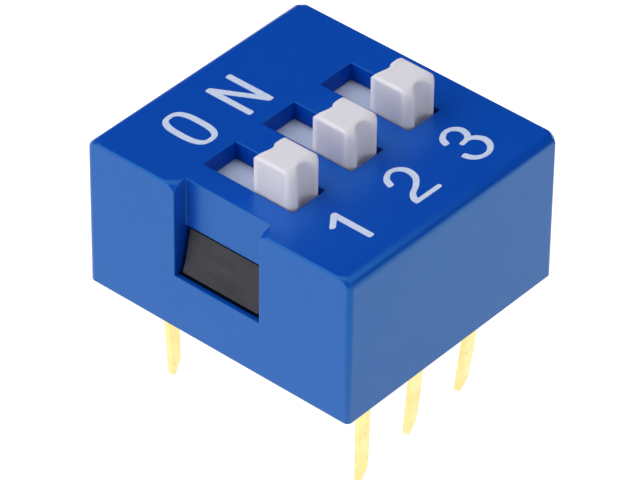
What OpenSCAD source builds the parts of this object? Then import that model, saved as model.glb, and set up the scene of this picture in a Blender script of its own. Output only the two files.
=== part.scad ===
// Three-way slide switch in a dual-in-line package.
// A blue moulded cover snaps over a black base. Each white slider carries a
// bridging spring that joins the two terminals of its pole when it is ON.
// Origin: centre of the seating plane, +X from switch 1 to switch 3,
// +Y towards ON, +Z up. All sizes are in millimetres.

/* [Pin pattern] */
// Distance between neighbouring switches
pitch = 2.54; // [2.5:0.01:3]
// Distance between the two rows of pins
row_spacing = 7.62; // [7.5:0.01:8]
// Pin length below the seating plane
pin_length = 4.0; // [2.5:0.1:5]
// Pin width across the row
pin_width = 0.46; // [0.35:0.01:0.6]
// Width of the pin's tip
tip_width = 0.36; // [0.25:0.01:0.5]
// Height over which a pin narrows to its tip
tip_taper = 1.6; // [0.8:0.1:2.4]
// Height of the slanted cut on the tip's corner
tip_cut = 0.4; // [0.2:0.05:0.7]
// Thickness of the terminal strip
strip_t = 0.2; // [0.15:0.01:0.28]
// How far the front row's tips lean inwards, one value for each pin
front_toe_in = [0, 0.32, 0.46];
// How far the rear row's tips lean inwards, one value for each pin
rear_toe_in = [0.3, 0.3, 0.3];

/* [Cover] */
// Distance from the centre of an end switch to the cover's end
end_margin = 2.04; // [2.03:0.01:2.6]
// Distance from a pin row to the cover's side
row_margin = 1.18; // [1.1:0.01:1.5]
// Height of the cover
body_height = 5.15; // [5:0.05:6.5]
// Thickness of the cover's side and end walls
side_wall = 0.6; // [0.4:0.05:0.65]
// Thickness of the cover's top
top_wall = 0.6; // [0.5:0.05:0.8]
// Radius of the cover's upright corners
corner_r = 0.17; // [0.1:0.01:0.3]
// Radius of the two upper edges along the rows of pins
side_edge_r = 0.32; // [0.1:0.02:0.4]
// Radius of the two upper edges at the ends
end_edge_r = 0.06; // [0.03:0.01:0.12]
// Radius of the rounding on the tips of the upper corners
tip_r = 0.33; // [0.15:0.01:0.35]
// Width of a slot across the travel
slot_width = 1.4; // [1.2:0.05:1.5]
// Length of a slot along the travel
slot_length = 3.4; // [3:0.05:3.5]

/* [Latch windows] */
// Width of the window in each end face
notch_width = 3.24; // [2.6:0.02:4]
// Depth of the recess that runs up from the first window
notch_depth = 0.52; // [0.3:0.02:0.6]
// Thickness of the wall behind the recess
notch_wall = 0.35; // [0.3:0.01:0.4]
// Height of the sill that the latch catches on
sill_height = 1.9; // [1.4:0.05:2]
// Height of the window above the sill
window_height = 1.57; // [1.2:0.01:1.8]
// Height of the latch's steeper lower face
land_height = 0.4; // [0.2:0.05:0.6]
// How far the latch's lower edge stops short of the end face
land_setback = 0.16; // [0.05:0.01:0.25]
// How far the lower face leans back over its height
land_lean = 0.13; // [0.05:0.01:0.2]
// How far the latch's thin upper edge stands out of the recess
latch_lip = 0.02; // [0:0.01:0.05]

/* [Slider] */
// Length of the knob along the travel
knob_length = 1.65; // [1.4:0.05:1.8]
// Height of the knob above the cover
knob_rise = 1.22; // [0.6:0.02:1.8]
// Radius of the knob's upright corners
knob_corner_r = 0.33; // [0.1:0.01:0.4]
// Radius of the knob's upper edges at its two ends
knob_end_r = 0.43; // [0.2:0.01:0.5]
// Radius of the knob's upper edges along the travel
knob_side_r = 0.1; // [0.05:0.01:0.2]
// Width of the upright groove in each end of the knob
groove_width = 0.8; // [0.5:0.02:0.9]
// Depth of the upright groove in each end of the knob
groove_depth = 0.3; // [0.1:0.01:0.35]
// Width of the plate under the cover
plate_width = 1.8; // [1.7:0.02:1.9]
// Thickness of the plate under the cover
plate_t = 0.7; // [0.6:0.02:0.9]
// How far the plate still covers the slot at the end of the travel
plate_overlap = 0.15; // [0.05:0.01:0.2]

/* [Contacts] */
// Gap between the two pads of a pole
pad_gap = 0.9; // [0.7:0.05:1]
// Width of a pad on the base's floor
pad_width = 1.3; // [1.1:0.05:1.4]
// Width of a terminal's leg inside the base
leg_width = 0.9; // [0.6:0.05:1]
// Inner radius of the terminal's bend
bend_r = 0.12; // [0.05:0.01:0.2]
// Distance between a spring's two feet
foot_spacing = 2.1; // [2:0.05:2.2]
// Width of the spring
spring_width = 1.2; // [1:0.05:1.3]
// Thickness of the spring
spring_t = 0.1; // [0.06:0.01:0.12]
// Outer radius of a spring's foot
foot_r = 0.2; // [0.16:0.01:0.24]
// Width of the split between a spring's fingers
finger_gap = 0.26; // [0.15:0.01:0.4]
// Length of the spring's flat middle
spring_flat = 1; // [0.8:0.05:1.1]
// Distance from the slider's underside to the pads
contact_space = 0.55; // [0.5:0.01:0.7]
// Depth of the spring's seat in the slider
seat_depth = 0.25; // [0.2:0.01:0.35]
// Diameter of the peg that holds the spring
peg_d = 0.5; // [0.4:0.02:0.6]

/* [Base] */
// Height of the base's underside above the seating plane
base_recess = 0.35; // [0.2:0.05:0.8]
// Width of the spring's channel below the slider's ledges
channel_width = 1.5; // [1.42:0.02:1.6]
// How far the ends of the channel stop short of the slider's well
channel_setback = 0.3; // [0.15:0.05:0.4]

/* [Clearances] */
// Clearance between cover and base
base_gap = 0.03; // [0.01:0.01:0.05]
// Clearance at each end of a latch in its window
latch_gap = 0.17; // [0.1:0.01:0.25]
// Clearance between a latch and the sill below it
catch_gap = 0.13; // [0.05:0.01:0.2]
// Clearance round a knob in its slot
knob_gap = 0.05; // [0.03:0.01:0.08]
// Clearance beside a slider's plate
slider_gap = 0.03; // [0.02:0.01:0.05]
// Clearance above and below a slider's plate
slider_play = 0.03; // [0.02:0.01:0.05]
// Clearance at the ends of a slider's plate
stop_gap = 0.05; // [0.03:0.01:0.08]
// Clearance between spring feet and pads
foot_gap = 0.02; // [0.01:0.01:0.04]
// Clearance round each terminal in the base
seat_gap = 0.02; // [0.01:0.01:0.03]
// Clearance between the spring's hole and its peg
peg_gap = 0.02; // [0.01:0.01:0.04]

/* [Hidden] */
$fn = 48;
poles = 3;
eps = 0.01;
cut_over = 1;
cover_color = "#1450A8";
base_color = "#2A2A30";
slider_color = "#E6E6EC";
terminal_color = "#E8C878";
spring_color = "#D8B060";

body_length = (poles - 1) * pitch + 2 * end_margin;
body_width = row_spacing + 2 * row_margin;
cavity_x = body_length / 2 - side_wall;
cavity_y = body_width / 2 - side_wall;
roof = body_height - top_wall;

notch_x = body_length / 2 - notch_depth;
boss_x = notch_x - notch_wall;
boss_width = notch_width + 2 * notch_wall;
window_top = sill_height + window_height;

knob_width = slot_width - 2 * knob_gap;
travel = slot_length - knob_length - 2 * knob_gap;
off_y = -travel / 2;
plate_length = slot_length + travel + 2 * plate_overlap;
plate_top = roof - slider_play;
plate_bottom = plate_top - plate_t;

well_width = plate_width + 2 * slider_gap;
well_length = plate_length + travel + 2 * stop_gap;
ledge = plate_bottom - slider_play;
channel_length = well_length - 2 * channel_setback;
floor_top = plate_bottom - contact_space;
base_x = cavity_x - base_gap;
base_y = cavity_y - base_gap;

latch_width = notch_width - 2 * latch_gap;
latch_bottom = sill_height + catch_gap;
latch_top = window_top - base_gap;
latch_root = 0.15;

row_y = row_spacing / 2;
spring_y = -travel / 2;
spring_top = plate_bottom + seat_depth;
seat_length = foot_spacing + 2 * foot_r + 2 * slider_gap;
foot_z = floor_top + foot_gap + foot_r;
foot_tail = 0.12;

function pole_x(i) = (i - (poles + 1) / 2) * pitch;

// Rectangle with true round corners, centred on the origin
module rounded_rect(size, r) {
    square([size.x - 2 * r, size.y], center = true);
    square([size.x, size.y - 2 * r], center = true);
    for (sx = [-1, 1], sy = [-1, 1])
        translate([sx * (size.x / 2 - r), sy * (size.y / 2 - r)]) circle(r);
}

// Upright side view with two round upper corners, standing on y = 0
module domed_rect(width, height, r) {
    translate([-width / 2, 0]) square([width, height - r]);
    translate([-width / 2 + r, 0]) square([width - 2 * r, height]);
    for (s = [-1, 1])
        translate([s * (width / 2 - r), height - r]) circle(r);
}

// Extrudes a side view drawn in Y and Z by a width along X
module along_x(width) {
    rotate([90, 0, 90]) linear_extrude(width, center = true) children();
}

// Extrudes a front view drawn in X and Z by a depth along Y
module along_y(depth) {
    rotate([90, 0, 0]) linear_extrude(depth, center = true) children();
}

// Upright block with round corners, standing on z = 0. Its upper edges have one
// radius where they run along X and another where they run along Y.
module soft_block(size, r, along_x_r, along_y_r) {
    intersection() {
        linear_extrude(size.z) rounded_rect([size.x, size.y], r);
        along_x(size.x + cut_over) domed_rect(size.y, size.z, along_x_r);
        along_y(size.y + cut_over) domed_rect(size.x, size.z, along_y_r);
    }
}

// Box centred in X and Y between two heights
module box_between(size_x, size_y, z_low, z_high) {
    translate([-size_x / 2, -size_y / 2, z_low]) cube([size_x, size_y, z_high - z_low]);
}

// Repeats its child at both ends, the second one turned round
module both_ends() {
    children();
    rotate(180) children();
}

module cover_cavity() {
    difference() {
        box_between(2 * cavity_x, 2 * cavity_y, -cut_over, roof);
        both_ends()
            translate([boss_x, -boss_width / 2, sill_height])
                cube([side_wall + notch_depth, boss_width, roof]);
    }
}

// Opening that a latch snaps into, at the end on the +X side
module latch_window() {
    translate([boss_x - cut_over, -notch_width / 2, sill_height])
        cube([notch_wall + notch_depth + 2 * cut_over, notch_width, window_height]);
}

// Recess from the first latch window up through the cover's top
module end_recess() {
    translate([notch_x, -notch_width / 2, sill_height])
        cube([notch_depth + cut_over, notch_width, body_height]);
}

// Rounds the tip of an upper corner at the origin. The solid lies towards +X, +Y
// and -Z, and the corner's upright edge has its own radius.
module rounded_tip(upright_r) {
    inset = upright_r * (1 - 1 / sqrt(2));
    translate([inset, inset, 0]) rotate(45) along_y(2.2 * tip_r + upright_r) difference() {
        translate([-cut_over, -tip_r]) square([cut_over + tip_r, tip_r + cut_over]);
        translate([tip_r, -tip_r]) circle(tip_r);
    }
}

// The four outer corners, and the two where the recess leaves the end face
module upper_tips() {
    both_ends() for (sy = [0, 1]) mirror([0, sy, 0])
        translate([-body_length / 2, -body_width / 2, body_height]) rounded_tip(corner_r);
    for (sy = [0, 1]) mirror([0, sy, 0])
        translate([-body_length / 2, notch_width / 2, body_height]) rounded_tip(0);
}

module cover() {
    color(cover_color)
    difference() {
        soft_block([body_length, body_width, body_height], corner_r, side_edge_r, end_edge_r);
        cover_cavity();
        both_ends() latch_window();
        rotate(180) end_recess();
        upper_tips();
        for (i = [1:poles])
            translate([pole_x(i), 0]) box_between(slot_width, slot_length, roof - cut_over, body_height + cut_over);
    }
}

// Side view of the latch, drawn in X and Z: thin above, proud below
module latch_profile() {
    root_x = boss_x - base_gap - latch_root;
    land_x = body_length / 2 - land_setback;
    polygon([
        [root_x, latch_bottom],
        [land_x, latch_bottom],
        [land_x - land_lean, latch_bottom + land_height],
        [notch_x + latch_lip, latch_top],
        [root_x, latch_top]
    ]);
}

module base_well() {
    box_between(well_width, well_length, ledge, roof + cut_over);
    box_between(channel_width, channel_length, floor_top, ledge + eps);
}

// Room for one front terminal: pad channel, bend and leg
module terminal_seat() {
    outer_y = -row_y - strip_t / 2 - seat_gap;
    inner_y = -row_y + strip_t / 2 + seat_gap;
    under_pad = floor_top - strip_t - seat_gap;
    translate([-pad_width / 2 - seat_gap, -row_y + strip_t / 2 + bend_r - seat_gap, under_pad])
        cube([pad_width + 2 * seat_gap, row_y - strip_t / 2 - bend_r - pad_gap / 2 + 2 * seat_gap, strip_t + 2 * seat_gap]);
    translate([-leg_width / 2 - seat_gap, outer_y, base_recess - cut_over])
        cube([leg_width + 2 * seat_gap, inner_y - outer_y, floor_top - base_recess + cut_over + seat_gap]);
    translate([-leg_width / 2 - seat_gap, outer_y, under_pad - bend_r])
        cube([leg_width + 2 * seat_gap, strip_t + bend_r + 2 * seat_gap, strip_t + bend_r + 2 * seat_gap]);
}

module base() {
    color(base_color) {
        difference() {
            box_between(2 * base_x, 2 * base_y, base_recess, roof);
            both_ends()
                translate([boss_x - base_gap, -boss_width / 2 - base_gap, -cut_over])
                    cube([side_wall + notch_depth, boss_width + 2 * base_gap, body_height + 2 * cut_over]);
            for (i = [1:poles]) translate([pole_x(i), 0]) {
                base_well();
                both_ends() terminal_seat();
            }
        }
        both_ends() along_y(latch_width) latch_profile();
    }
}

// Quarter of a strip's bend between its inner and outer radius
module strip_bend(centre) {
    translate(centre) intersection() {
        difference() {
            circle(bend_r + strip_t);
            circle(bend_r);
        }
        translate([-bend_r - strip_t, 0]) square(bend_r + strip_t);
    }
}

// Front terminal: pad on the floor, bend, leg through the base, pin
module terminal(toe_in) {
    bend_y = -row_y + strip_t / 2 + bend_r;
    bend_z = floor_top - strip_t - bend_r;
    color(terminal_color) {
        along_x(pad_width)
            translate([bend_y, floor_top - strip_t]) square([-pad_gap / 2 - bend_y, strip_t]);
        along_x(leg_width) {
            translate([bend_y, floor_top - strip_t]) square([2 * bend_r, strip_t]);
            strip_bend([bend_y, bend_z]);
            translate([-row_y - strip_t / 2, base_recess]) square([strip_t, bend_z - base_recess]);
        }
        intersection() {
            along_x(pin_width) polygon([
                [-row_y - strip_t / 2, base_recess + leg_width / 2],
                [-row_y - strip_t / 2, 0],
                [-row_y - strip_t / 2 + toe_in, -pin_length],
                [-row_y + strip_t / 2 + toe_in, -pin_length],
                [-row_y + strip_t / 2, 0],
                [-row_y + strip_t / 2, base_recess + leg_width / 2]
            ]);
            translate([0, -row_y]) along_y(2 * strip_t + 2 * pin_width + cut_over) pin_outline();
        }
    }
}

// Front view of a pin: it narrows to a tip with one slanted corner
module pin_outline() {
    polygon([
        [-pin_width / 2, base_recess + leg_width],
        [-pin_width / 2, -pin_length + tip_taper],
        [-tip_width / 2 - (pin_width - tip_width) / 4, -pin_length],
        [-tip_width / 4, -pin_length],
        [tip_width / 2, -pin_length + tip_cut],
        [pin_width / 2, -pin_length + tip_taper],
        [pin_width / 2, base_recess + leg_width]
    ]);
}

// Terminals 1 to 3 stand in the front row, 4 to 6 in the row on the ON side
module front_terminal(i) {
    translate([pole_x(i), 0]) terminal(front_toe_in[i - 1]);
}

module rear_terminal(i) {
    translate([pole_x(i), 0]) mirror([0, 1, 0]) terminal(rear_toe_in[i - 1]);
}

module knob() {
    difference() {
        soft_block([knob_width, knob_length, top_wall + slider_play + knob_rise],
            knob_corner_r, knob_end_r, knob_side_r);
        for (s = [-1, 1])
            translate([0, s * (knob_length / 2 + groove_bend_r() - groove_depth), eps])
                cylinder(h = body_height, r = groove_bend_r());
    }
}

// Radius of the arc whose chord and height are the groove's width and depth
function groove_bend_r() = (pow(groove_width / 2, 2) + pow(groove_depth, 2)) / (2 * groove_depth);

module slider(i) {
    color(slider_color)
    translate([pole_x(i), off_y]) {
        difference() {
            box_between(plate_width, plate_length, plate_bottom, plate_top);
            translate([0, spring_y])
                box_between(spring_width + 2 * slider_gap, seat_length, plate_bottom - cut_over, spring_top);
        }
        translate([0, 0, plate_top]) knob();
        translate([0, spring_y, plate_bottom + eps]) cylinder(h = seat_depth, d = peg_d);
    }
}

// One arm of the spring, towards +Y, with a curled foot
module spring_arm() {
    foot_y = foot_spacing / 2;
    along_x(spring_width) polygon([
        [spring_flat / 2 - spring_t, spring_top],
        [spring_flat / 2 - spring_t, spring_top - spring_t],
        [foot_y - foot_r, foot_z],
        [foot_y - foot_r + spring_t, foot_z],
        [spring_flat / 2, spring_top]
    ]);
    along_x(spring_width) translate([foot_y, foot_z]) intersection() {
        difference() {
            circle(foot_r);
            circle(foot_r - spring_t);
        }
        translate([-foot_r, -foot_r]) square([2 * foot_r, foot_r + eps]);
    }
    translate([0, foot_y + foot_r - spring_t, foot_z])
        translate([-spring_width / 2, 0]) cube([spring_width, spring_t, foot_tail]);
}

module contact(i) {
    color(spring_color)
    translate([pole_x(i), off_y + spring_y])
    difference() {
        union() {
            box_between(spring_width, spring_flat, spring_top - spring_t, spring_top);
            both_ends() spring_arm();
        }
        cylinder(h = body_height, d = peg_d + 2 * peg_gap);
        for (s = [-1, 1])
            translate([0, s * (spring_flat / 2 + foot_spacing)])
                box_between(finger_gap, 2 * foot_spacing, 0, body_height);
    }
}

cover();
base();
front_terminal(1);  // terminal_1
front_terminal(2);  // terminal_2
front_terminal(3);  // terminal_3
rear_terminal(1);  // terminal_4
rear_terminal(2);  // terminal_5
rear_terminal(3);  // terminal_6
slider(1);  // slider_1
slider(2);  // slider_2
slider(3);  // slider_3
contact(1);  // contact_1
contact(2);  // contact_2
contact(3);  // contact_3
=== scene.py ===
import math
import bmesh
import bpy
from mathutils import Matrix, Vector


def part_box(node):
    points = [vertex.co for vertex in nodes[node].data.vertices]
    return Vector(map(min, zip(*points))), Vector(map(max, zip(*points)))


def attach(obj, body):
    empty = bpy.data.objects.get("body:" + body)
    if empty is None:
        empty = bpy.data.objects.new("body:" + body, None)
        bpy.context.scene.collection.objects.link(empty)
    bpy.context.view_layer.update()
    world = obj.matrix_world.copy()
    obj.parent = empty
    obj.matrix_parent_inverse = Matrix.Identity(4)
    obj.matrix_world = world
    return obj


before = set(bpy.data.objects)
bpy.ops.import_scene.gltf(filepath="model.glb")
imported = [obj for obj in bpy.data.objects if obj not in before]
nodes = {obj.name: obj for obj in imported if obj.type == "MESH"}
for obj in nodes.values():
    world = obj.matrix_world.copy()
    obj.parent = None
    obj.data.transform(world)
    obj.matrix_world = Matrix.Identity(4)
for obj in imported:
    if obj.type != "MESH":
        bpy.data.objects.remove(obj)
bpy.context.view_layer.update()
mm = 0.001
print("frame loaded:", len(nodes), "pieces")

scene = bpy.context.scene
scene.view_settings.view_transform = "Standard"

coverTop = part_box("cover")[1].z
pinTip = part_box("terminal_1")[0].z     # the pins' tips stand on the floor


cameraSettings = {
    "azimuth": -49.44,      # degrees, from straight in front of the OFF side
    "elevation": 38.6,      # degrees above the board
    "roll": 0.69,
    "distance": 145.5,      # mm from the origin
    "focalPixels": 4957.0,
    "frameWidth": 640,      # the focal length is counted in a render this wide
    "sensor": 36.0,
    "aimRight": -0.03,      # mm, where the middle of the frame lies
    "aimUp": 1.052,
    "nearest": 10,          # mm
    "farthest": 10000,
}


def addCamera(s):
    az, el, roll = (math.radians(s[key]) for key in ("azimuth", "elevation", "roll"))
    back = Vector((math.sin(az) * math.cos(el), -math.cos(az) * math.cos(el), math.sin(el)))
    level = Vector((math.cos(az), math.sin(az), 0))
    right = Matrix.Rotation(roll, 3, back) @ level
    up = back.cross(right)
    data = bpy.data.cameras.new("camera")
    data.sensor_width = s["sensor"]
    data.lens = s["focalPixels"] * s["sensor"] / s["frameWidth"]
    data.clip_start = s["nearest"] * mm
    data.clip_end = s["farthest"] * mm
    camera = bpy.data.objects.new("camera", data)
    place = right * s["aimRight"] + up * s["aimUp"] + back * s["distance"]
    turn = Matrix((right, up, back)).transposed().to_4x4()
    camera.matrix_world = Matrix.Translation(place * mm) @ turn
    scene.collection.objects.link(camera)
    scene.camera = camera


addCamera(cameraSettings)
print("camera placed")


class Nodes:
    # a small wrapper that keeps node building short
    def __init__(self, tree):
        self.tree = tree

    def add(self, kind, **values):
        node = self.tree.nodes.new(kind)
        for key, value in values.items():
            if key in node.inputs.keys():
                node.inputs[key].default_value = value
            else:
                setattr(node, key, value)
        return node

    def join(self, outSocket, inSocket):
        self.tree.links.new(outSocket, inSocket)

    def give(self, value, inSocket):
        # value is a plain value or the socket that it comes from
        if isinstance(value, bpy.types.NodeSocket):
            self.join(value, inSocket)
        else:
            inSocket.default_value = value

    def calc(self, operation, first, second):
        node = self.add("ShaderNodeMath", operation=operation)
        self.give(first, node.inputs[0])
        self.give(second, node.inputs[1])
        return node.outputs[0]

    def spread(self, fac, low, high, start=0.0, end=1.0, curve="LINEAR"):
        node = self.add("ShaderNodeMapRange", interpolation_type=curve)
        self.give(fac, node.inputs["Value"])
        self.give(start, node.inputs["From Min"])
        self.give(end, node.inputs["From Max"])
        self.give(low, node.inputs["To Min"])
        self.give(high, node.inputs["To Max"])
        return node.outputs["Result"]


class Shader(Nodes):
    def __init__(self, name):
        self.material = bpy.data.materials.new(name)
        self.material.use_nodes = True
        super().__init__(self.material.node_tree)
        self.surface = self.tree.nodes["Principled BSDF"]
        self.place = self.add("ShaderNodeTexCoord").outputs["Object"]

    def set(self, **values):
        for key, value in values.items():
            self.give(value, self.surface.inputs[key.replace("_", " ")])

    def noise(self, grains, detail=3.0, rough=0.5, stretch=(1, 1, 1)):
        # noise over the piece's own place, grains are counted per mm
        mapping = self.add("ShaderNodeMapping", Scale=stretch)
        noise = self.add("ShaderNodeTexNoise", Scale=grains / mm, Detail=detail, Roughness=rough)
        self.join(self.place, mapping.inputs["Vector"])
        self.join(mapping.outputs["Vector"], noise.inputs["Vector"])
        return noise.outputs["Fac"]

    def vary(self, fac, middle, either):
        return self.spread(fac, middle - either, middle + either)

    def blend(self, fac, first, second):
        # first and second are colours or sockets
        node = self.add("ShaderNodeMix", data_type="RGBA")
        pair = [socket for socket in node.inputs if socket.type == "RGBA"]
        for socket, value in zip(pair, (first, second)):
            self.give(value if isinstance(value, bpy.types.NodeSocket) else (*value, 1), socket)
        self.join(fac, node.inputs["Factor"])
        return [out for out in node.outputs if out.type == "RGBA"][0]

    def inside(self, low, high):
        # 1 inside a box given in mm of the shared frame, 0 outside
        vector = self.place
        middle = [(a + b) / 2 * mm for a, b in zip(low, high)]
        half = [(b - a) / 2 * mm for a, b in zip(low, high)]
        for operation, value in (("SUBTRACT", middle), ("ABSOLUTE", None), ("SUBTRACT", half)):
            step = self.add("ShaderNodeVectorMath", operation=operation)
            self.join(vector, step.inputs[0])
            if value:
                step.inputs[1].default_value = value
            vector = step.outputs["Vector"]
        beyond = self.add("ShaderNodeSeparateXYZ")
        self.join(vector, beyond.inputs[0])
        most = self.calc("MAXIMUM", beyond.outputs["X"], beyond.outputs["Y"])
        most = self.calc("MAXIMUM", most, beyond.outputs["Z"])
        return self.calc("LESS_THAN", most, 0)

    def bump(self, *layers, wornEdge=0, edgeRays=8):
        # each layer is a height socket, a strength and a depth in mm
        last = None
        if wornEdge:
            last = self.add("ShaderNodeBevel", samples=edgeRays, Radius=wornEdge * mm).outputs["Normal"]
        for height, strength, depth in layers:
            bump = self.add("ShaderNodeBump", Strength=strength, Distance=depth * mm)
            self.join(height, bump.inputs["Height"])
            if last:
                self.join(last, bump.inputs["Normal"])
            last = bump.outputs["Normal"]
        self.join(last, self.surface.inputs["Normal"])


# In the plastics, the metal and the ink: a noise is its grains per mm, its detail and its
# roughness. A bump is its strength and its depth in mm. A share is the least and the most,
# and the heights of the noise where they start and end.
bluePlasticSettings = {
    "colour": (0.0, 0.054, 0.445),
    "paler": (0.0, 0.060, 0.465),
    "patches": (0.45, 2),
    "dust": (0.03, 0.15, 0.54),
    "specks": (9, 5, 0.7),
    "speckShare": (0, 0.35, 0.66, 0.8),
    "ior": 1.78,
    "sheen": (0.22, 1.0, 1.0),
    "roughness": 0.34,
    "uneven": 0.05,
    "smears": (1.4, 4),
    "gloss": 0.5,
    "slotGloss": 0.05,      # what is left of the gloss on the slots' walls
    "slots": ((-3.26, -1.72, 0), (3.26, 1.72, 5.13)),       # mm, round the three slots
    "shadowedGap": ((-4.43, -1.65, 1.5), (-3.4, 1.65, 1.93)),       # mm, under the latch, the box where a shadow is painted near-black
    # the near-black of the painted shadow in the gap under the latch
    "paintedGapShadow": (0.0, 0.006, 0.03),
    "waves": (0.8, 2),
    "waveBump": (0.25, 0.02),
    "grain": (20, 3),
    "grainBump": (0.22, 0.004),
    "wornEdge": 0.06,       # mm
}


def makeBluePlastic(s):
    shader = Shader("blue plastic")
    tone = shader.blend(shader.noise(*s["patches"]), s["colour"], s["paler"])
    specks = shader.spread(shader.noise(*s["specks"]), *s["speckShare"])
    tone = shader.blend(specks, tone, s["dust"])
    inSlots = shader.inside(*s["slots"])
    shader.set(
        # painted shadow: the cover is coloured near-black in the box under the latch
        Base_Color=shader.blend(shader.inside(*s["shadowedGap"]), tone, s["paintedGapShadow"]),
        IOR=s["ior"],
        Specular_IOR_Level=shader.spread(inSlots, s["gloss"], s["slotGloss"]),
        Specular_Tint=(*s["sheen"], 1),
        Roughness=shader.vary(shader.noise(*s["smears"]), s["roughness"], s["uneven"]),
    )
    shader.bump((shader.noise(*s["waves"]), *s["waveBump"]), (shader.noise(*s["grain"]), *s["grainBump"]),
                wornEdge=s["wornEdge"])
    return shader.material


blackPlasticSettings = {
    "colour": (0.005, 0.005, 0.014),
    "paler": (0.018, 0.018, 0.030),
    "streaks": (2.2, 5, 0.6, (1, 0.35, 1.6)),       # the last is a stretch along each axis
    "streakShare": (0, 1, 0.35, 0.7),
    "streakBump": (0.3, 0.012),
    "ior": 1.5,
    "roughness": 0.46,
    "uneven": 0.1,
    "grain": (16, 3),
    "grainBump": (0.3, 0.005),
}


def makeBlackPlastic(s):
    shader = Shader("black plastic")
    streaks = shader.noise(*s["streaks"])
    shader.set(
        Base_Color=shader.blend(shader.spread(streaks, *s["streakShare"]), s["colour"], s["paler"]),
        IOR=s["ior"],
        Roughness=shader.vary(streaks, s["roughness"], -s["uneven"]),
    )
    shader.bump((streaks, *s["streakBump"]), (shader.noise(*s["grain"]), *s["grainBump"]))
    return shader.material


whitePlasticSettings = {
    "colour": (0.71, 0.71, 0.80),
    "warmer": (0.75, 0.72, 0.77),
    "patches": (1.1, 3),
    "grime": (0.46, 0.45, 0.50),
    "specks": (5, 5, 0.65),
    "speckShare": (0, 0.5, 0.62, 0.85),
    "plates": ((-9, -9, 2), (9, 9, 4.66)),      # mm, round the three plates
    # painted shade on the plates inside the slots, tinted blue like light thrown back from the blue walls
    "plateShadeAndBounce": (0.47, 0.54, 0.70),
    "ior": 1.48,
    "roughness": 0.52,
    "uneven": 0.06,
    "smears": (3, 4),
    "glow": 0.3,
    "glowDepth": 0.25,      # mm that light travels inside
    "waves": (1.5, 3),
    "waveBump": (0.3, 0.015),
    "grain": (18, 3),
    "grainBump": (0.2, 0.003),
    "wornEdge": 0.10,       # mm
}


def makeWhitePlastic(s):
    shader = Shader("white plastic")
    tone = shader.blend(shader.noise(*s["patches"]), s["colour"], s["warmer"])
    grime = shader.spread(shader.noise(*s["specks"]), *s["speckShare"])
    tone = shader.blend(grime, tone, s["grime"])
    shader.set(
        # the plates are painted darker and bluer: painted shade and painted blue bounce light
        Base_Color=shader.blend(shader.inside(*s["plates"]), tone, s["plateShadeAndBounce"]),
        IOR=s["ior"],
        Roughness=shader.vary(shader.noise(*s["smears"]), s["roughness"], s["uneven"]),
        Subsurface_Weight=s["glow"],
        Subsurface_Scale=s["glowDepth"] * mm,
        Subsurface_Radius=(1, 1, 1),
    )
    shader.bump((shader.noise(*s["waves"]), *s["waveBump"]), (shader.noise(*s["grain"]), *s["grainBump"]),
                wornEdge=s["wornEdge"])
    return shader.material


goldPlateSettings = {
    "colour": (1.0, 0.90, 0.42),
    "deeper": (1.0, 0.80, 0.33),
    "patches": (2.2, 4),
    "patchShare": (0, 1, 0.35, 0.65),
    "tarnish": (0.30, 0.18, 0.07),
    "spots": (6, 4, 0.6),
    "spotShare": (0, 0.8, 0.66, 0.78),
    "roughness": 0.30,
    "uneven": 0.1,
    "drawn": (10, 3, 0.5, (1, 1, 0.1)),     # lines along the strip
    "drawnBump": (0.3, 0.004),
    "waves": (1.8, 3),
    "waveBump": (0.4, 0.02),
}


def makeGoldPlate(s):
    shader = Shader("gold plate")
    drawn = shader.noise(*s["drawn"])
    patches = shader.spread(shader.noise(*s["patches"]), *s["patchShare"])
    tone = shader.blend(patches, s["colour"], s["deeper"])
    spots = shader.spread(shader.noise(*s["spots"]), *s["spotShare"])
    shader.set(
        Base_Color=shader.blend(spots, tone, s["tarnish"]),
        Metallic=1.0,
        Roughness=shader.vary(drawn, s["roughness"], s["uneven"]),
    )
    shader.bump((shader.noise(*s["waves"]), *s["waveBump"]), (drawn, *s["drawnBump"]))
    return shader.material


bluePlastic = makeBluePlastic(bluePlasticSettings)
blackPlastic = makeBlackPlastic(blackPlasticSettings)
whitePlastic = makeWhitePlastic(whitePlasticSettings)
goldPlate = makeGoldPlate(goldPlateSettings)
print("materials made")


# finish, the record's slot, and the radius in mm that the small edges are rounded to
finishes = {
    "cover": (bluePlastic, "cover", 0.05),
    "base": (blackPlastic, "base", 0.03),
    "slider": (whitePlastic, "slider", 0.08),
    "terminal": (goldPlate, "terminal", 0.025),
    "contact": (goldPlate, "spring", 0),
}


edges = {
    "weld": 0.0005,         # mm
    "flatWithin": 1,        # degrees between faces that become one
    "sharpFrom": 30,        # degrees from which an edge is rounded
    "steps": 3,
}


def softenEdges(piece, radius, s):
    weld = piece.modifiers.new("weld", "WELD")
    weld.merge_threshold = s["weld"] * mm
    clean = piece.modifiers.new("flat faces", "DECIMATE")
    clean.decimate_type = "DISSOLVE"
    clean.angle_limit = math.radians(s["flatWithin"])
    bevel = piece.modifiers.new("edge", "BEVEL")
    bevel.width = radius * mm
    bevel.segments = s["steps"]
    bevel.limit_method = "ANGLE"
    bevel.angle_limit = math.radians(s["sharpFrom"])
    bevel.harden_normals = True


for name, piece in nodes.items():
    finish, slotName, radius = finishes[name.split("_")[0]]
    piece.data.materials.clear()
    piece.data.materials.append(finish)
    if radius:
        softenEdges(piece, radius, edges)
print("finishes put on")


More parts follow.
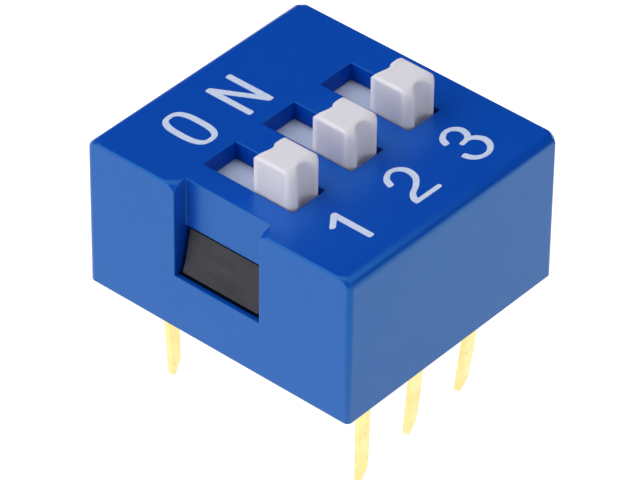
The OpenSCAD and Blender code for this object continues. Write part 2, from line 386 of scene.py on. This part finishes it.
legend = {
    "penAcross": 0.22,      # mm, width of an upright stroke
    "penAlong": 0.155,      # mm, width of a level stroke
    "capPower": 3.2,        # 2 is a round stroke end, more is squarer
    "capSteps": 10,
    "ovalPower": 2.8,       # 2 is an ellipse, more has straighter sides
    "ovalSteps": 48,
    "curveSteps": 6,        # pieces between two guide points
    "thickness": 0.008,     # mm
    "weld": 0.00001,        # mm
    "overlap": 0.15,        # share of the thickness that a later stroke stands higher
    "ink": (0.62, 0.70, 0.88),
    "thinInk": (0.50, 0.60, 0.82),
    "wear": (6, 5, 0.65),
    "wearShare": (0, 1, 0.4, 0.75),
    "roughness": 0.5,
    "grain": (14, 3),
    "grainBump": (0.3, 0.004),
}


def ovalRing(centre, halfWidth, halfHeight, s):
    steps, power = s["ovalSteps"], s["ovalPower"]
    points = []
    for i in range(steps):
        angle = 2 * math.pi * i / steps
        across, up = math.cos(angle), math.sin(angle)
        points.append((centre[0] + halfWidth * math.copysign(abs(across) ** (2 / power), across),
                       centre[1] + halfHeight * math.copysign(abs(up) ** (2 / power), up)))
    return points + points[:1]


def smoothPath(guides, steps):
    # a smooth curve through the guide points
    ends = [guides[0]] + list(guides) + [guides[-1]]
    points = []
    for a, b, c, d in zip(ends, ends[1:], ends[2:], ends[3:]):
        for i in range(steps):
            t = i / steps
            points.append(tuple(
                0.5 * (2 * b[k] + (c[k] - a[k]) * t + (2 * a[k] - 5 * b[k] + 4 * c[k] - d[k]) * t ** 2
                       + (3 * b[k] - a[k] - 3 * c[k] + d[k]) * t ** 3) for k in (0, 1)))
    return points + [guides[-1]]


# each character is a list of strokes in mm on the cover's top, upright when read from
# the OFF side
curved = legend["curveSteps"]
characters = {
    "legendO": [ovalRing((-2.25, 3.1), 0.42, 0.80, legend)],
    "legendN": [
        [(-0.54, 2.31), (-0.54, 3.90)],
        [(0.35, 2.33), (0.35, 3.91)],
        [(-0.52, 3.88), (0.32, 2.36)],
    ],
    "legend1": [[(-2.54, -2.63), (-2.54, -3.97)], [(-2.55, -2.63), (-2.97, -2.95)]],
    "legend2": [
        smoothPath([(-0.44, -2.92), (-0.32, -2.68), (-0.02, -2.52), (0.24, -2.60), (0.39, -2.84),
                    (0.32, -3.20), (0.02, -3.48), (-0.30, -3.64), (-0.46, -3.82), (-0.49, -3.96)], curved),
        [(-0.49, -3.97), (0.41, -3.98)],
    ],
    "legend3": [
        smoothPath([(2.09, -2.86), (2.18, -2.66), (2.44, -2.51), (2.70, -2.54), (2.88, -2.76),
                    (2.82, -3.05), (2.62, -3.18), (2.44, -3.21)], curved),
        smoothPath([(2.66, -3.17), (2.86, -3.29), (2.99, -3.52), (2.93, -3.78), (2.76, -3.96),
                    (2.52, -4.04), (2.26, -3.99), (2.09, -3.83), (2.02, -3.63)], curved),
    ],
}


class Pen:
    # an oval pen: a stroke is worked out where the pen is a circle, then scaled back
    def __init__(self, s, top):
        self.settings = s
        self.half = (s["penAcross"] / 2, s["penAlong"] / 2)
        self.top = top
        self.mesh = bmesh.new()

    def vertex(self, point, z):
        return self.mesh.verts.new((point.x * self.half[0] * mm, point.y * self.half[1] * mm, z * mm))

    def stroke(self, points, height):
        flat = [Vector((x / self.half[0], y / self.half[1])) for x, y in points]
        closed = points[0] == points[-1]
        if closed:
            flat = flat[:-1]
        count = len(flat)
        upper, lower = [], []
        for i, point in enumerate(flat):
            before = flat[(i - 1) % count] if closed or i else point
            after = flat[(i + 1) % count] if closed or i < count - 1 else point
            along = (after - before).normalized()
            side = Vector((-along.y, along.x))
            for ring, z in ((upper, height), (lower, self.top)):
                ring.append((self.vertex(point + side, z), self.vertex(point - side, z)))
        for i in range(count if closed else count - 1):
            j = (i + 1) % count
            self.mesh.faces.new((upper[i][0], upper[i][1], upper[j][1], upper[j][0]))
            self.mesh.faces.new((upper[i][0], upper[j][0], lower[j][0], lower[i][0]))
            self.mesh.faces.new((upper[j][1], upper[i][1], lower[i][1], lower[j][1]))
        if not closed:
            self.cap(flat[0], flat[1], height)
            self.cap(flat[-1], flat[-2], height)

    def cap(self, end, other, height):
        steps, power = self.settings["capSteps"], self.settings["capPower"]
        away = (end - other).normalized()
        first = math.atan2(away.y, away.x) - math.pi / 2
        fan = []
        for k in range(steps + 1):
            turn = math.pi * k / steps
            reach = (abs(math.cos(turn)) ** power + abs(math.sin(turn)) ** power) ** (-1 / power)
            fan.append(end + Vector((math.cos(first + turn), math.sin(first + turn))) * reach)
        rim = [self.vertex(point, height) for point in fan]
        foot = [self.vertex(point, self.top) for point in fan]
        self.mesh.faces.new(rim)
        for k in range(steps):
            self.mesh.faces.new((rim[k], foot[k], foot[k + 1], rim[k + 1]))

    def piece(self, name):
        bmesh.ops.remove_doubles(self.mesh, verts=self.mesh.verts, dist=self.settings["weld"] * mm)
        bmesh.ops.recalc_face_normals(self.mesh, faces=self.mesh.faces)
        data = bpy.data.meshes.new(name)
        self.mesh.to_mesh(data)
        self.mesh.free()
        piece = bpy.data.objects.new(name, data)
        scene.collection.objects.link(piece)
        return piece


def writeCharacter(name, strokes, s, top):
    pen = Pen(s, top)
    for layer, points in enumerate(strokes):
        pen.stroke(points, top + s["thickness"] * (1 + s["overlap"] * layer))
    return pen.piece(name)


def makeInk(s):
    shader = Shader("white ink")
    wear = shader.spread(shader.noise(*s["wear"]), *s["wearShare"])
    shader.set(Base_Color=shader.blend(wear, s["ink"], s["thinInk"]), Roughness=s["roughness"])
    shader.bump((shader.noise(*s["grain"]), *s["grainBump"]))
    return shader.material


whiteInk = makeInk(legend)
for name, strokes in characters.items():
    letter = writeCharacter(name, strokes, legend, coverTop / mm)
    letter.data.materials.append(whiteInk)
    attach(letter, "housing")
print("legend printed")


studio = {
    "bright": 2.1,          # light from the open side of the room
    "dim": 0.03,            # and from its dark end
    "openSide": (-0.75, -0.15, 0.65),
    "openEdges": (-0.02, 0.55),         # cosines where it starts to brighten and is at its full
    "shaded": (-0.59, -0.51, 0.62),     # a second dark place, high in front
    "shadedEdges": (0.60, 0.92),        # cosines where it starts to darken and is darkest
    "floorSize": 4.0,       # metres
    "floorColour": 0.65,    # what the floor throws back at the object
    "floorShade": 0.22,     # how much of the floor's look takes shadow
    "floorWhite": 1.0,      # how bright the floor looks before that is added
    "roomWhite": 1.0,
    # soft lamps: where they stand in metres, their width and how bright they glow
    "lamps": {
        "left": ((-0.43, 0.02, 0.24), 0.44, 0.35),
        "front": ((-0.06, -0.46, 0.18), 0.44, 0.6),
    },
}


def grey(level):
    return (level, level, level, 1)


def addFloor(s):
    half = s["floorSize"] / 2
    data = bpy.data.meshes.new("floor")
    corners = [(x * half, y * half, pinTip) for x, y in ((-1, -1), (1, -1), (1, 1), (-1, 1))]
    data.from_pydata(corners, [], [(0, 1, 2, 3)])
    floor = bpy.data.objects.new("floor", data)
    scene.collection.objects.link(floor)
    shader = Shader("pale floor")
    shader.tree.nodes.remove(shader.surface)
    path = shader.add("ShaderNodeLightPath")
    seen = shader.calc("MAXIMUM", path.outputs["Is Camera Ray"], path.outputs["Is Glossy Ray"])
    seen = shader.calc("MAXIMUM", seen, path.outputs["Is Transmission Ray"])
    lit = shader.add("ShaderNodeBsdfDiffuse", Color=grey(s["floorColour"]))
    shade = shader.add("ShaderNodeBsdfDiffuse", Color=grey(s["floorShade"]))
    white = shader.add("ShaderNodeEmission", Strength=s["floorWhite"])
    both = shader.add("ShaderNodeAddShader")
    shader.join(shade.outputs[0], both.inputs[0])
    shader.join(white.outputs[0], both.inputs[1])
    mix = shader.add("ShaderNodeMixShader")
    shader.join(seen, mix.inputs[0])
    shader.join(lit.outputs[0], mix.inputs[1])
    shader.join(both.outputs[0], mix.inputs[2])
    shader.join(mix.outputs[0], shader.tree.nodes["Material Output"].inputs["Surface"])
    data.materials.append(shader.material)


def addRoomLight(s):
    world = bpy.data.worlds.new("soft room")
    scene.world = world
    world.use_nodes = True
    room = Nodes(world.node_tree)
    path = room.add("ShaderNodeLightPath")
    way = room.add("ShaderNodeTexCoord").outputs["Generated"]

    def fade(side, edges, start, end):
        toward = room.add("ShaderNodeVectorMath", operation="DOT_PRODUCT")
        room.join(way, toward.inputs[0])
        toward.inputs[1].default_value = Vector(side).normalized()
        return room.spread(toward.outputs["Value"], start, end, *edges, curve="SMOOTHSTEP")

    level = room.calc("MULTIPLY", fade(s["openSide"], s["openEdges"], s["dim"], s["bright"]),
                      fade(s["shaded"], s["shadedEdges"], 1.0, s["dim"]))
    # reflections see the open side white and no brighter
    mirrored = room.spread(path.outputs["Is Glossy Ray"], 1.0, s["roomWhite"] / s["bright"])
    level = room.calc("MULTIPLY", level, mirrored)
    direct = room.calc("MAXIMUM", path.outputs["Is Camera Ray"], path.outputs["Is Transmission Ray"])
    background = room.tree.nodes["Background"]
    background.inputs["Color"].default_value = (1, 1, 1, 1)
    room.join(room.spread(direct, level, s["roomWhite"]), background.inputs["Strength"])


def addLamp(name, place, width, glow):
    # the power of a disk that glows evenly
    data = bpy.data.lights.new(name, "AREA")
    data.shape = "DISK"
    data.size = width
    data.energy = glow * math.pi ** 2 * width ** 2 / 4
    lamp = bpy.data.objects.new(name, data)
    lamp.location = place
    lamp.rotation_euler = (-Vector(place)).to_track_quat("-Z", "Y").to_euler()
    scene.collection.objects.link(lamp)


addFloor(studio)
addRoomLight(studio)
for name, values in studio["lamps"].items():
    addLamp(name, *values)
print("studio ready")
